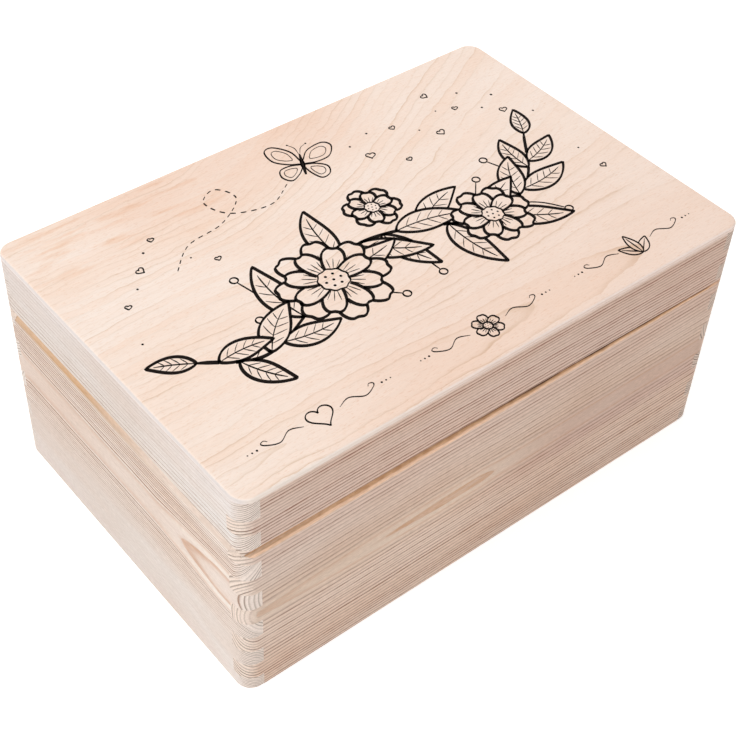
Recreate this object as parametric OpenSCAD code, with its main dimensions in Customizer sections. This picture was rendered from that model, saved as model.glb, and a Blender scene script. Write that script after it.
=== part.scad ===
// Keepsake box of pine boards with finger-jointed, rounded corners.
// A deep hinged lid of the same boards carries a thin plywood top.
// The origin is the middle of the underside, +X to the right seen from
// the front, +Y from front to back, +Z up. Sizes are in millimetres.

/* [Box] */
// Outside length of the box
box_w = 300; // [240:1:380]
// Outside depth of the box, from front to back
box_d = 198; // [150:1:280]
// Outside height with the lid shut
box_h = 134; // [112:1:180]
// Height of the lid above the parting line
lid_h = 35.4; // [28:0.2:50]
// Thickness of the pine boards
board_t = 10; // [9.5:0.5:14]
// Radius of the four upright corners
corner_r = 8; // [4:0.5:9]
// Gap between the shut lid and the box
lid_gap = 0.3; // [0.2:0.05:0.5]

/* [Finger joints] */
// Height of the lowest finger of the box
foot_finger_h = 8.3; // [6:0.1:12]
// Height of the other fingers of the box
finger_h = 10.4; // [8:0.1:14]
// Height of the topmost finger of the lid
top_finger_h = 11; // [8:0.1:14]
// Height of the other fingers of the lid
lid_finger_h = 9.2; // [8:0.1:14]

/* [Grip groove] */
// Reach of the groove above and below the parting line
groove_half_h = 2.9; // [2:0.1:3.6]
// Depth of the groove at the parting line
groove_depth = 2.1; // [1.6:0.1:2.4]

/* [Panels] */
// Thickness of the plywood top of the lid
top_t = 3; // [2.5:0.5:6]
// Radius of the sanded upper edge of the top
top_edge_r = 1.2; // [0.5:0.1:1.8]
// Thickness of the plywood bottom of the box
bottom_t = 3; // [2:0.5:5]
// Height of the bottom's underside above the table
bottom_lift = 6; // [4:0.5:12]
// Depth of the slot in the boards that holds the bottom
slot_depth = 5; // [3:0.5:6]
// Room between the bottom's edge and the end of its slot
panel_room = 0.5; // [0.2:0.1:1]
// Room between the bottom's upper face and its slot
slot_clear = 0.1; // [0.05:0.05:0.3]

/* [Hinges] */
// Length of a hinge along the box
hinge_len = 26; // [20:1:40]
// Distance from the box's end to the hinge
hinge_inset = 40; // [20:1:70]
// Thickness of a hinge leaf
leaf_t = 1; // [0.8:0.1:1.4]
// Wood left between a leaf and the inside of the back
leaf_margin = 1.4; // [1:0.1:1.6]
// Room around a leaf in its recess
leaf_clear = 0.2; // [0.1:0.05:0.4]
// Outer diameter of the knuckles
knuckle_d = 3.8; // [3.4:0.1:4]
// Number of knuckles on one hinge
knuckle_count = 5; // [3:2:7]
// Room between neighbouring knuckles
knuckle_gap = 0.3; // [0.2:0.05:0.4]
// Room between the knuckles and the wood
barrel_clear = 0.3; // [0.3:0.05:0.6]
// Diameter of the hinge pin
pin_d = 2; // [1.6:0.1:2.2]
// Room between the pin and its bore, on the radius
pin_clear = 0.05; // [0.02:0.01:0.1]

/* [Screws] */
// Diameter of a screw's shank
screw_d = 1.8; // [1.6:0.1:2.2]
// Length of a screw, with its head
screw_l = 9; // [7:0.5:12]
// Diameter of a screw's countersunk head
screw_head_d = 3.4; // [3:0.1:3.6]
// Length of a screw's point
screw_tip_l = 2; // [1:0.5:3]
// Distance from the hinge's end to a screw
screw_inset = 5.5; // [4:0.5:7]
// Width and depth of the cross in a screw's head
cross_w = 0.5; // [0.4:0.1:0.6]
// Room around a screw in its hole, on the radius
screw_clear = 0.05; // [0.02:0.01:0.1]

/* [Hidden] */
$fn = 96;

pine_long = "#d9c0a6";
pine_short = "#ead9c8";
birch = "#f3e0ca";
ply_bottom = "#e3cdb0";
steel = "#b9bcc0";
pin_steel = "#9a9da1";
screw_brass = "#c9a95c";

// How far a cutting shape runs past what it cuts
over = 1;
// The lowest height that is still cut as a finger of its own
least_finger = 1.5;

part_z = box_h - lid_h;
box_top = part_z - lid_gap / 2;
lid_foot = part_z + lid_gap / 2;
frame_top = box_h - top_t;

hinge_y = box_d / 2 - groove_depth;
hinge_x = box_w / 2 - hinge_inset - hinge_len / 2;
leaf_w = board_t - groove_depth - leaf_margin;
knuckle_r = knuckle_d / 2;
knuckle_l = (hinge_len - (knuckle_count - 1) * knuckle_gap) / knuckle_count;
screw_x = hinge_len / 2 - screw_inset;
screw_y = (leaf_w + knuckle_r + knuckle_gap) / 2;
screw_head_h = (screw_head_d - screw_d) / 2;

// Where the fingers of a corner begin and end, counted from its first
// finger. Even steps belong to the short boards, odd ones to the long.
function rungs(first, step, total) =
    concat([0], [for (h = first; h < total - least_finger; h = h + step) h], [total]);

box_rungs = rungs(foot_finger_h, finger_h, box_top);
lid_rungs = [for (h = rungs(top_finger_h, lid_finger_h, frame_top - lid_foot))
             frame_top - h];

// ---- outlines and blanks ----

// Rectangle w by d about the origin with corners of radius r
module outline(w, d, r) {
    square([w, d - 2 * r], center = true);
    square([w - 2 * r, d], center = true);
    for (x = [-1, 1], y = [-1, 1])
        translate([x * (w / 2 - r), y * (d / 2 - r)]) circle(r = r);
}

// The box's outer form, which rounds the ends of the boards
module outer_form() {
    linear_extrude(box_h) outline(box_w, box_d, corner_r);
}

// A board of the given length and height, its outer face at y = 0 and
// its ends cut into fingers. parity picks the steps that it fills.
module board_blank(length, low, high, steps, parity) {
    translate([board_t - length / 2, 0, low])
        cube([length - 2 * board_t, board_t, high - low]);
    for (i = [parity:2:len(steps) - 2])
        translate([-length / 2, 0, min(steps[i], steps[i + 1])])
            cube([length, board_t, abs(steps[i + 1] - steps[i])]);
}

module long_blank(low, high, steps) {
    translate([0, -box_d / 2, 0]) board_blank(box_w, low, high, steps, 1);
}

module short_blank(low, high, steps) {
    translate([-box_w / 2, 0, 0])
        rotate([0, 0, -90]) board_blank(box_d, low, high, steps, 0);
}

// ---- cuts ----

// V-groove round the parting line, one straight cut on each side
module groove_cut(length) {
    flank = groove_half_h * (1 + over / groove_depth);
    linear_extrude(length, center = true)
        polygon([[groove_depth, 0], [-over, flank], [-over, -flank]]);
}

module grip_groove() {
    for (side = [0, 1])
        mirror([0, side, 0])
            translate([0, -box_d / 2, part_z])
                rotate([90, 0, 90]) groove_cut(box_w + 2 * over);
    for (side = [0, 1])
        mirror([side, 0, 0])
            translate([-box_w / 2, 0, part_z])
                rotate([90, 0, 0]) groove_cut(box_d + 2 * over);
}

// The slot that runs round the inside of the boards for the bottom
module bottom_slot() {
    w = box_w - 2 * board_t + 2 * slot_depth;
    d = box_d - 2 * board_t + 2 * slot_depth;
    translate([-w / 2, -d / 2, bottom_lift]) cube([w, d, bottom_t + slot_clear]);
}

// Does what follows at both hinges, with the pin's middle at the origin
module at_hinges() {
    for (side = [-1, 1]) translate([side * hinge_x, hinge_y, part_z]) children();
}

// Does what follows at both screws of a leaf
module at_screws() {
    for (side = [-1, 1]) translate([side * screw_x, -screw_y, -lid_gap / 2]) children();
}

// What a leaf, its barrel and its screws take out of the wood below
// the parting line. The wood above it takes the mirror image.
module hinge_seat() {
    length = hinge_len + 2 * leaf_clear;
    translate([-length / 2, -leaf_w - leaf_clear, -lid_gap / 2 - leaf_t])
        cube([length, leaf_w + leaf_clear, leaf_t + lid_gap]);
    rotate([0, 90, 0])
        cylinder(r = knuckle_r + barrel_clear, h = length, center = true);
    at_screws()
        translate([0, 0, -screw_l - screw_clear])
            cylinder(d = screw_d + 2 * screw_clear, h = screw_l);
}

// ---- box ----

module box_long_board() {
    difference() {
        intersection() {
            long_blank(0, box_top, box_rungs);
            outer_form();
        }
        grip_groove();
        bottom_slot();
    }
}

module box_short_board() {
    difference() {
        intersection() {
            short_blank(0, box_top, box_rungs);
            outer_form();
        }
        grip_groove();
        bottom_slot();
    }
}

module front_board() {
    color(pine_long) box_long_board();
}

module back_board() {
    color(pine_long) difference() {
        mirror([0, 1, 0]) box_long_board();
        at_hinges() hinge_seat();
    }
}

module left_board() {
    color(pine_short) box_short_board();
}

module right_board() {
    color(pine_short) mirror([1, 0, 0]) box_short_board();
}

module bottom_panel() {
    w = box_w - 2 * (board_t - slot_depth + panel_room);
    d = box_d - 2 * (board_t - slot_depth + panel_room);
    color(ply_bottom)
        translate([-w / 2, -d / 2, bottom_lift]) cube([w, d, bottom_t]);
}

// ---- lid ----

module lid_long_rail() {
    difference() {
        intersection() {
            long_blank(lid_foot, frame_top, lid_rungs);
            outer_form();
        }
        grip_groove();
    }
}

module lid_short_rail() {
    difference() {
        intersection() {
            short_blank(lid_foot, frame_top, lid_rungs);
            outer_form();
        }
        grip_groove();
    }
}

module lid_front_rail() {
    color(pine_long) lid_long_rail();
}

module lid_back_rail() {
    color(pine_long) difference() {
        mirror([0, 1, 0]) lid_long_rail();
        at_hinges() mirror([0, 0, 1]) hinge_seat();
    }
}

module lid_left_rail() {
    color(pine_short) lid_short_rail();
}

module lid_right_rail() {
    color(pine_short) mirror([1, 0, 0]) lid_short_rail();
}

// Section of the top's border, from the corner's centre outwards
module top_border() {
    flat = corner_r - top_edge_r;
    low = top_t - top_edge_r;
    square([corner_r, low]);
    square([flat, top_t]);
    translate([flat, low]) intersection() {
        circle(r = top_edge_r);
        square(top_edge_r);
    }
}

// The plywood top, glued on the frame, its upper edge sanded round
module lid_top_panel() {
    core_w = box_w - 2 * corner_r;
    core_d = box_d - 2 * corner_r;
    color(birch) translate([0, 0, frame_top]) {
        translate([-core_w / 2, -core_d / 2, 0]) cube([core_w, core_d, top_t]);
        for (side = [0, 1]) mirror([side, 0, 0])
            translate([core_w / 2, core_d / 2, 0])
                rotate([90, 0, 0]) linear_extrude(core_d) top_border();
        for (side = [0, 1]) mirror([0, side, 0])
            translate([-core_w / 2, core_d / 2, 0])
                rotate([90, 0, 90]) linear_extrude(core_w) top_border();
        for (x = [0, 1], y = [0, 1]) mirror([x, 0, 0]) mirror([0, y, 0])
            translate([core_w / 2, core_d / 2, 0])
                rotate_extrude(angle = 90) top_border();
    }
}

// ---- hinges ----

// A row of knuckles along X, every second one from the given start
module knuckles(first, radius, extra) {
    for (k = [first:2:knuckle_count - 1])
        translate([k * (knuckle_l + knuckle_gap) - hinge_len / 2 - extra, 0, 0])
            rotate([0, 90, 0]) cylinder(r = radius, h = knuckle_l + 2 * extra);
}

// One leaf below the parting line, its pin's middle at the origin.
// own is 0 for the leaf with the end knuckles and 1 for the other.
module hinge_leaf(own) {
    difference() {
        union() {
            translate([-hinge_len / 2, -leaf_w, -lid_gap / 2 - leaf_t])
                cube([hinge_len, leaf_w, leaf_t]);
            knuckles(own, knuckle_r, 0);
        }
        knuckles(1 - own, knuckle_r + knuckle_gap, knuckle_gap);
        rotate([0, 90, 0])
            cylinder(d = pin_d + 2 * pin_clear, h = hinge_len + 2 * over, center = true);
        at_screws() screw_form(screw_clear);
    }
}

module hinge_pin() {
    rotate([0, 90, 0]) cylinder(d = pin_d, h = hinge_len, center = true);
}

// A countersunk screw, its head's face at z = 0 and its point below,
// made larger all round by extra
module screw_form(extra) {
    head_r = screw_head_d / 2 + extra;
    shank_r = screw_d / 2 + extra;
    rotate_extrude()
        polygon([[0, extra], [head_r, extra], [head_r, 0], [shank_r, -screw_head_h],
                 [shank_r, screw_tip_l - screw_l], [0, -screw_l - extra]]);
}

module screw() {
    difference() {
        screw_form(0);
        for (turn = [0, 90])
            rotate([0, 0, turn])
                cube([screw_d, cross_w, 2 * cross_w], center = true);
    }
}

module left_hinge_box_leaf() {
    color(steel) translate([-hinge_x, hinge_y, part_z]) hinge_leaf(0);
}

module left_hinge_lid_leaf() {
    color(steel) translate([-hinge_x, hinge_y, part_z]) mirror([0, 0, 1]) hinge_leaf(1);
}

module left_hinge_pin() {
    color(pin_steel) translate([-hinge_x, hinge_y, part_z]) hinge_pin();
}

module right_hinge_box_leaf() {
    color(steel) translate([hinge_x, hinge_y, part_z]) hinge_leaf(0);
}

module right_hinge_lid_leaf() {
    color(steel) translate([hinge_x, hinge_y, part_z]) mirror([0, 0, 1]) hinge_leaf(1);
}

module right_hinge_pin() {
    color(pin_steel) translate([hinge_x, hinge_y, part_z]) hinge_pin();
}

module box_leaf_screws() {
    color(screw_brass) at_hinges() at_screws() screw();
}

module lid_leaf_screws() {
    color(screw_brass) at_hinges() mirror([0, 0, 1]) at_screws() screw();
}

front_board();
back_board();
left_board();
right_board();
bottom_panel();
lid_front_rail();
lid_back_rail();
lid_left_rail();
lid_right_rail();
lid_top_panel();
left_hinge_box_leaf();
left_hinge_lid_leaf();
left_hinge_pin();
right_hinge_box_leaf();
right_hinge_lid_leaf();
right_hinge_pin();
box_leaf_screws();
lid_leaf_screws();
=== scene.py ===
"""A keepsake box of bare pine: finger-jointed boards, a deep lid with a birch
plywood top and a line design on it, two small butt hinges at the back.
Metres, +X along the front, +Y to the back, +Z up, origin under the middle."""

import math

import bmesh
import bpy
import numpy as np
from mathutils import Matrix, Vector


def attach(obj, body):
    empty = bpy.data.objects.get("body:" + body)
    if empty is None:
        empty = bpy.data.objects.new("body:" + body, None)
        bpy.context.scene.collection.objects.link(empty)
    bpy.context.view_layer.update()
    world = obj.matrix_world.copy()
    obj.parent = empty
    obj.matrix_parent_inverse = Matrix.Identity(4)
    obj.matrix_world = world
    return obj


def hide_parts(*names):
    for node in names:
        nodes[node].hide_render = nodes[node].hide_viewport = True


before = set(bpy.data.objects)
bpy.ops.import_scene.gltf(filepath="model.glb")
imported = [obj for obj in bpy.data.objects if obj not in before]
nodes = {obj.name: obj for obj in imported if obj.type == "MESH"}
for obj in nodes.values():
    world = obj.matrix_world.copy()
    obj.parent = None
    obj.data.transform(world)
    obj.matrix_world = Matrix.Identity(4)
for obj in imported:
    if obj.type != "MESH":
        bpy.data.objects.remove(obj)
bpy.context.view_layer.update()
MM = 0.001

# ---------------------------------------------------------------- camera
# A normal lens above the box's front left corner, a little rolled, as in a
# hand-held product shot. The place is in millimetres, from the box's origin.

CAMERA_PLACE = (-359.5, -411.8, 578.0)
CAMERA_AZIMUTH, CAMERA_ELEVATION, CAMERA_ROLL = -39.367, 45.848, 1.739
CAMERA_LENS, CAMERA_SENSOR = 71.71, 36.0
CAMERA_SHIFT = (0.0452, 0.0525)

camera_data = bpy.data.cameras.new("camera")
camera_data.lens, camera_data.sensor_width = CAMERA_LENS, CAMERA_SENSOR
camera_data.shift_x, camera_data.shift_y = CAMERA_SHIFT
camera = bpy.data.objects.new("camera", camera_data)
bpy.context.scene.collection.objects.link(camera)
bpy.context.scene.camera = camera

azimuth, elevation = math.radians(CAMERA_AZIMUTH), math.radians(CAMERA_ELEVATION)
backward = Vector((math.sin(azimuth) * math.cos(elevation),
                   -math.cos(azimuth) * math.cos(elevation), math.sin(elevation)))
turn = backward.to_track_quat("Z", "Y").to_matrix()
turn = turn @ Matrix.Rotation(math.radians(CAMERA_ROLL), 3, "Z")
camera.matrix_world = Matrix.Translation(Vector(CAMERA_PLACE) * MM) @ turn.to_4x4()


# ----------------------------------------------------------- pine boards
# Four boards make the box and four rails of the same boards the lid: knotless
# pine, planed, glued at the fingers, then belt-sanded all round. One trunk's
# rings run through face, edge and end grain of each board.

# Half sizes, the corners' radius and centres, the parting line, the rails' top
# and the whole height, in millimetres
HALF_LONG, HALF_DEEP, CORNER_R = 150.0, 99.0, 8.0
CORE_X, CORE_Y = HALF_LONG - CORNER_R, HALF_DEEP - CORNER_R
PART_Z, FRAME_TOP, BOX_H = 98.6, 131.0, 134.0
# The groove's half width and a depth just behind its bottom, the heights of the
# boards' inner edges at the parting line, and how far sandpaper eased the edges
GROOVE_HALF, GROOVE_BEHIND = 2.9, 2.2
BOX_RIM, LID_RIM = 98.45, 98.75
EASE = 0.4
SAME_POINT = 1e-6


def colour(code):
    """An sRGB hex value, such as 'e8d5c4', as linear red, green, blue, 1."""
    parts = [int(code[i:i + 2], 16) / 255 for i in (0, 2, 4)]
    return (*[p / 12.92 if p <= 0.04045 else ((p + 0.055) / 1.055) ** 2.4 for p in parts], 1.0)


def add(tree, kind, feeds=(), out=0, stops=(), **settings):
    """Adds one node, sets its properties, fills or links its inputs, given in order
    or by number or name, and returns the wanted output. stops are a colour ramp's,
    as (place, colour) or (place, grey)."""
    item = tree.nodes.new("ShaderNode" + kind)
    for key, value in settings.items():
        setattr(item, key, value)
    for key, value in feeds.items() if isinstance(feeds, dict) else enumerate(feeds):
        if isinstance(value, bpy.types.NodeSocket):
            tree.links.new(value, item.inputs[key])
        else:
            item.inputs[key].default_value = value
    for k, (place, value) in enumerate(stops):
        elements = item.color_ramp.elements
        stop = elements[k] if k < len(elements) else elements.new(place)
        stop.position = place
        stop.color = value if isinstance(value, tuple) else (value, value, value, 1.0)
    return item.outputs[out] if item.outputs else item


# Settings that make a Mix node lay its second colour over the first or tint the
# first with it, and a Map Range node start and stop softly
OVER = {"out": 2, "data_type": "RGBA"}
TINT = {"out": 2, "data_type": "RGBA", "blend_type": "MULTIPLY"}
SOFTLY = {"interpolation_type": "SMOOTHSTEP"}


def hexes(stops):
    """Stops as (place, sRGB hex value), turned to linear."""
    return [(place, colour(code)) for place, code in stops]


def blank_material(name):
    """A new material and its emptied node tree."""
    material = bpy.data.materials.new(name)
    material.use_nodes = True
    material.node_tree.nodes.clear()
    return material, material.node_tree


def product(tree, first, *others):
    """Several values multiplied, by one Math node after another."""
    for other in others:
        first = add(tree, "Math", (first, other), operation="MULTIPLY")
    return first


def object_mm(tree):
    """The object coordinates in millimetres."""
    return add(tree, "VectorMath", {0: add(tree, "TexCoord", out="Object"), "Scale": 1.0 / MM},
               operation="SCALE")


def stretched(tree, point, per_mm, detail=2.0, roughness=0.5, out=0):
    """Noise with so many cells per millimetre along x, y and z."""
    scaled = add(tree, "VectorMath", (point, per_mm), operation="MULTIPLY")
    return add(tree, "TexNoise", {"Vector": scaled, "Scale": 1.0, "Detail": detail,
                                  "Roughness": roughness}, out=out)


def pine(name, turn, shift, pith, rings, phase, bold, drift, contrast, early, late,
         end_early, end_late, tone, seed, end_axis, groove, lip_shadow, pale, lip=((0.0, 1.0),),
         crest=None, band=None, calm=(15.0, 21.0), halo=None, wild=1.0, pairs=0.0):
    """Sanded Scots pine. The point is turned so that u runs along the board, v
    into it from its outer face and w up, in millimetres. Distance from the pith,
    a line along u, bent by slow noise, gives the ring. Each ring darkens from
    pale earlywood to a brown latewood edge. The same rings give end grain.

    rings holds (radius, to radius, ring width), bold (ring, strength) and drift
    (u, to u, depth, to depth) steps of the pith. contrast and early are stops over
    the height, tone and lip (the groove's width) stops along the board. lip_shadow
    and pale are spans of u: over the first the groove's bottom gets a painted
    shadow of the lid's lip, and over the second the groove fades. crest colours the
    top millimetre, where the sander rolled over the edge, and band (height, half
    breadth, u, to u, colour) tints a broad stripe of the wood. From calm's first
    radius to its second the end grain's lines come up to full strength. halo
    (colour, u, to u) is the scorched brim under the groove and where it fades. wild
    says how much the rings differ from each other, and pairs by how much every
    second line on the lid's side is weaker, both from 0 to 1."""
    material, tree = blank_material(name)
    where = add(tree, "TexCoord", out="Object")
    facing = add(tree, "SeparateXYZ", (add(tree, "TexCoord", out="Normal"),)).node
    point = add(tree, "Mapping", {"Vector": where, "Location": shift,
                                  "Rotation": (0.0, 0.0, math.radians(turn)),
                                  "Scale": (1.0 / MM,) * 3})
    axes = add(tree, "SeparateXYZ", (point,)).node
    along, up = axes.outputs[0], axes.outputs[2]

    # Slow wander of the trunk, and a small ripple of every ring
    seeded = add(tree, "VectorMath", (point, (seed * 100.0, 0.0, 0.0)), operation="ADD")
    wander = stretched(tree, seeded, (0.006, 0.012, 0.012), out="Color")
    bent = add(tree, "VectorMath", (wander, (0.0, 0.5, 2.8), (0.0, -0.35, -1.9)),
               operation="MULTIPLY_ADD")
    ripple = stretched(tree, seeded, (0.035, 0.2, 0.2), out="Color")
    bent = add(tree, "VectorMath", (ripple, (0.0, 0.2, 1.0), bent), operation="MULTIPLY_ADD")
    bent = add(tree, "VectorMath", (point, bent), operation="ADD")

    # The pith's depth changes along the board, which draws the pointed arches
    depth = pith[0]
    for start, stop, first, last in drift:
        step = add(tree, "MapRange", (along, start, stop, first, last))
        depth = add(tree, "Math", (depth, step), operation="ADD")
    centre = add(tree, "CombineXYZ", {1: depth, 2: pith[1]})
    radius = add(tree, "VectorMath", (bent, centre), operation="SUBTRACT")
    radius = add(tree, "VectorMath", (radius, (0.0, 1.0, 1.0)), operation="MULTIPLY")
    radius = add(tree, "VectorMath", (radius,), out="Value", operation="LENGTH")
    count = phase
    for start, stop, width in rings:
        step = add(tree, "MapRange", (radius, start, stop, 0.0, (stop - start) / width))
        count = add(tree, "Math", (count, step), operation="ADD")
    part = add(tree, "Math", (count,), operation="FRACT")
    number = add(tree, "Math", (count,), operation="FLOOR")
    chance = add(tree, "TexWhiteNoise", {"W": number}, out="Value", noise_dimensions="1D")
    weight = add(tree, "MapRange", (chance, 0.0, 1.0, 0.85 - 0.45 * wild, 0.85 + 0.45 * wild))
    glow = 0.0
    for which, strength in bold:
        chosen = add(tree, "Math", (number, which, 0.5), operation="COMPARE")
        glow = add(tree, "Math", (glow, chosen), operation="ADD")
        weight = add(tree, "Mix", {0: chosen, 2: weight, 3: strength})
    dark = add(tree, "ValToRGB", (part,), stops=((0.0, 0.6), (0.08, 0.04), (0.36, 0.0),
                                                 (0.62, 0.20), (0.80, 0.80), (0.93, 1.0)))
    dark = product(tree, dark, weight)

    # On the side the lines are broken along the grain and follow the contrast
    height = add(tree, "MapRange", (up, 0.0, BOX_H))
    length = add(tree, "MapRange", (along, -HALF_LONG, HALF_LONG))
    broken = stretched(tree, seeded, (0.09, 0.7, 0.7), 3.0, 0.65)
    broken = add(tree, "MapRange", (broken, 0.36, 0.64, 0.89 - 0.27 * wild, 0.89 + 0.26 * wild))
    odd = add(tree, "Math", (number, 2.0), operation="MODULO")
    paired = add(tree, "MapRange", (odd, 0.0, 1.0, 1.0 + pairs, 1.0 - pairs))
    on_lid = add(tree, "Math", (up, PART_Z), operation="GREATER_THAN")
    paired = add(tree, "Mix", {0: on_lid, 2: 1.0, 3: paired})
    strong = add(tree, "ValToRGB", (height,), stops=contrast)
    side_dark = product(tree, dark, strong, broken, paired)

    # Fibres some tenths of a millimetre wide, and slow changes of tone
    fibre = stretched(tree, seeded, (0.05, 1.5, 1.5), 3.0, 0.6)
    dash = stretched(tree, seeded, (0.35, 3.2, 3.2), 1.0)
    patch = add(tree, "MapRange", (stretched(tree, seeded, (0.010, 0.04, 0.04)), 0.36, 0.70))

    # The side's colour: pale ground, ring lines, changes along the board, patches,
    # then a stripe, a scorched brim or a sanded crest where the board has one
    ground = add(tree, "ValToRGB", (height,), stops=hexes(early))
    line = add(tree, "Mix", {0: glow, 6: colour(late), 7: colour(FLAME)}, **OVER)
    side = add(tree, "Mix", {0: side_dark, 6: ground, 7: line}, **OVER)
    changes = add(tree, "ValToRGB", (length,), stops=hexes(tone))
    side = add(tree, "Mix", {0: 1.0, 6: side, 7: changes}, **TINT)
    side = add(tree, "Mix", {0: patch, 6: side, 7: colour(PATCH)}, **TINT)
    if band:
        middle, half, start, stop, tint = band
        away = add(tree, "Math", (up, middle), operation="SUBTRACT")
        away = add(tree, "Math", (away,), operation="ABSOLUTE")
        near = product(tree, add(tree, "MapRange", (away, half, half + BAND_FADE, 1.0, 0.0)),
                       add(tree, "MapRange", (along, start, stop)))
        side = add(tree, "Mix", {0: near, 6: side, 7: colour(tint)}, **TINT)
    if halo:
        tint, start, stop = halo
        near = product(tree, add(tree, "MapRange", (up, PART_Z - 4.8, PART_Z - 3.3)),
                       add(tree, "MapRange", (up, PART_Z, PART_Z + 0.5, 1.0, 0.0)),
                       add(tree, "MapRange", (along, start, stop, 1.0, 0.0)))
        side = add(tree, "Mix", {0: near, 6: side, 7: colour(tint)}, **TINT)
    if crest:
        near = add(tree, "MapRange", (up, FRAME_TOP - 1.1, FRAME_TOP - 0.5, 0.0, 0.8))
        side = add(tree, "Mix", {0: near, 6: side, 7: colour(crest)}, **OVER)
    end_dark = product(tree, dark, add(tree, "MapRange", (radius, *calm, 0.15, 1.0)))
    end = add(tree, "Mix", {0: end_dark, 6: colour(end_early), 7: colour(end_late)}, **OVER)
    across = add(tree, "Math", (facing.outputs[end_axis],), operation="ABSOLUTE")
    is_end = add(tree, "MapRange", (across, 0.10, 0.72))
    wood = add(tree, "Mix", {0: is_end, 6: side, 7: end}, **OVER)

    # The cut flanks of the groove under a painted shadow of the lid's lip: dark at
    # the bottom, blotchy brown on the shaded part, lighter towards the lit lower lip,
    # pale outside
    off_line = add(tree, "Math", (up, PART_Z), operation="SUBTRACT")
    off_line = add(tree, "Math", (off_line,), operation="ABSOLUTE")
    half = product(tree, add(tree, "ValToRGB", (length,), stops=lip), GROOVE_HALF)
    chatter = stretched(tree, seeded, (0.06, 0.3, 0.3), 3.0)
    chatter = add(tree, "MapRange", (chatter, 0.3, 0.7, -0.10, 0.10))
    out = add(tree, "Math", (off_line, half), operation="DIVIDE")
    out = add(tree, "Math", (out, chatter), operation="ADD")
    # Painted shade: blotchy browns where the lid's lip shades the flank, and lighter tones towards
    # the lower lip, which the light reaches
    shaded_blotch = stretched(tree, seeded, (0.25, 0.5, 0.5))
    shaded_blotch = add(tree, "MapRange", (shaded_blotch, 0.36, 0.64))
    brown = add(tree, "Mix", {0: shaded_blotch, 6: colour(groove[1]), 7: colour(groove[2])}, **OVER)
    bright = add(tree, "Mix", {0: out, 6: colour(groove[3]), 7: colour(groove[4])}, **OVER)
    cut = add(tree, "MapRange", (out, 0.48, 0.72))
    cut = add(tree, "Mix", {0: cut, 6: brown, 7: bright}, **OVER)
    # Painted shadow: the groove's bottom goes dark under the lid's lip, over the given span of u
    deep = product(tree, add(tree, "MapRange", (out, 0.12, 0.40, 1.0, 0.0)),
                   add(tree, "MapRange", (along, *lip_shadow)))
    cut = add(tree, "Mix", {0: deep, 6: cut, 7: colour(groove[0])}, **OVER)
    fade = add(tree, "MapRange", (along, *pale))
    fade = add(tree, "Math", (is_end, fade), operation="MAXIMUM")
    cut = add(tree, "Mix", {0: fade, 6: cut, 7: colour(PALE_CUT)}, **OVER)
    slope = add(tree, "Math", (facing.outputs[2],), operation="ABSOLUTE")
    flank = product(tree, add(tree, "MapRange", (slope, 0.20, 0.35)),
                    add(tree, "MapRange", (slope, 0.70, 0.85, 1.0, 0.0)),
                    add(tree, "MapRange", (out, 0.94, 1.10, 1.0, 0.0)))
    cut = add(tree, "Mix", {0: 0.15, 6: cut, 7: wood}, **TINT)
    wood = add(tree, "Mix", {0: flank, 6: wood, 7: cut}, **OVER)

    # Darker fibres are warmer too: blue falls a quarter faster than red
    shade = add(tree, "MapRange", (fibre, 0.25, 0.75, 0.90, 1.08))
    dash = add(tree, "MapRange", (dash, 0.25, 0.75, 0.93 - 0.08 * wild, 1.03 + 0.07 * wild))
    shade = product(tree, shade, dash)
    shade = add(tree, "VectorMath", (shade, (1.0, 1.13, 1.27), (0.0, -0.13, -0.27)),
                operation="MULTIPLY_ADD")
    wood = add(tree, "VectorMath", (wood, shade), operation="MULTIPLY")
    relief = add(tree, "Math", (dark, 0.2, fibre), operation="MULTIPLY_ADD")
    bump = add(tree, "Bump", {"Strength": 0.25, "Distance": 0.0002, "Height": relief})
    shader = add(tree, "BsdfPrincipled", {"Base Color": wood, "Roughness": 0.62,
                                          "Specular IOR Level": 0.30, "Normal": bump})
    add(tree, "OutputMaterial", (shader,))
    return material


# The groove's cut wood: its bottom, two browns, then two tones towards the lips.
# In the first set the dark bottom and the browns are painted shadow of the lid's
# lip, and the paler tones are the lit lower flank. The golden set's dark bottom is
# painted shadow too.
LIP_SHADED_CUT = ("4a2810", "cb9c73", "dcb18a", "fdd4ae", "ffdcc0")
GOLDEN = ("c4915f", "dbae80", "dfb586", "e0b98d", "e3c3a1")
HONEY = ("c4915f", "d9b590", "ddbb9a", "d4af88", "d2ab82")
PALE_CUT, PATCH, FLAME = "e7d6c9", "f9f1eb", "c37b2a"
ALL_ALONG, NOWHERE = (-900.0, -899.0), (899.0, 900.0)
BAND_FADE = 8.0
FRONT_LIP = ((0.0, 1.0), (0.37, 0.95), (0.60, 0.80), (0.83, 0.60), (0.95, 0.38))

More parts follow.
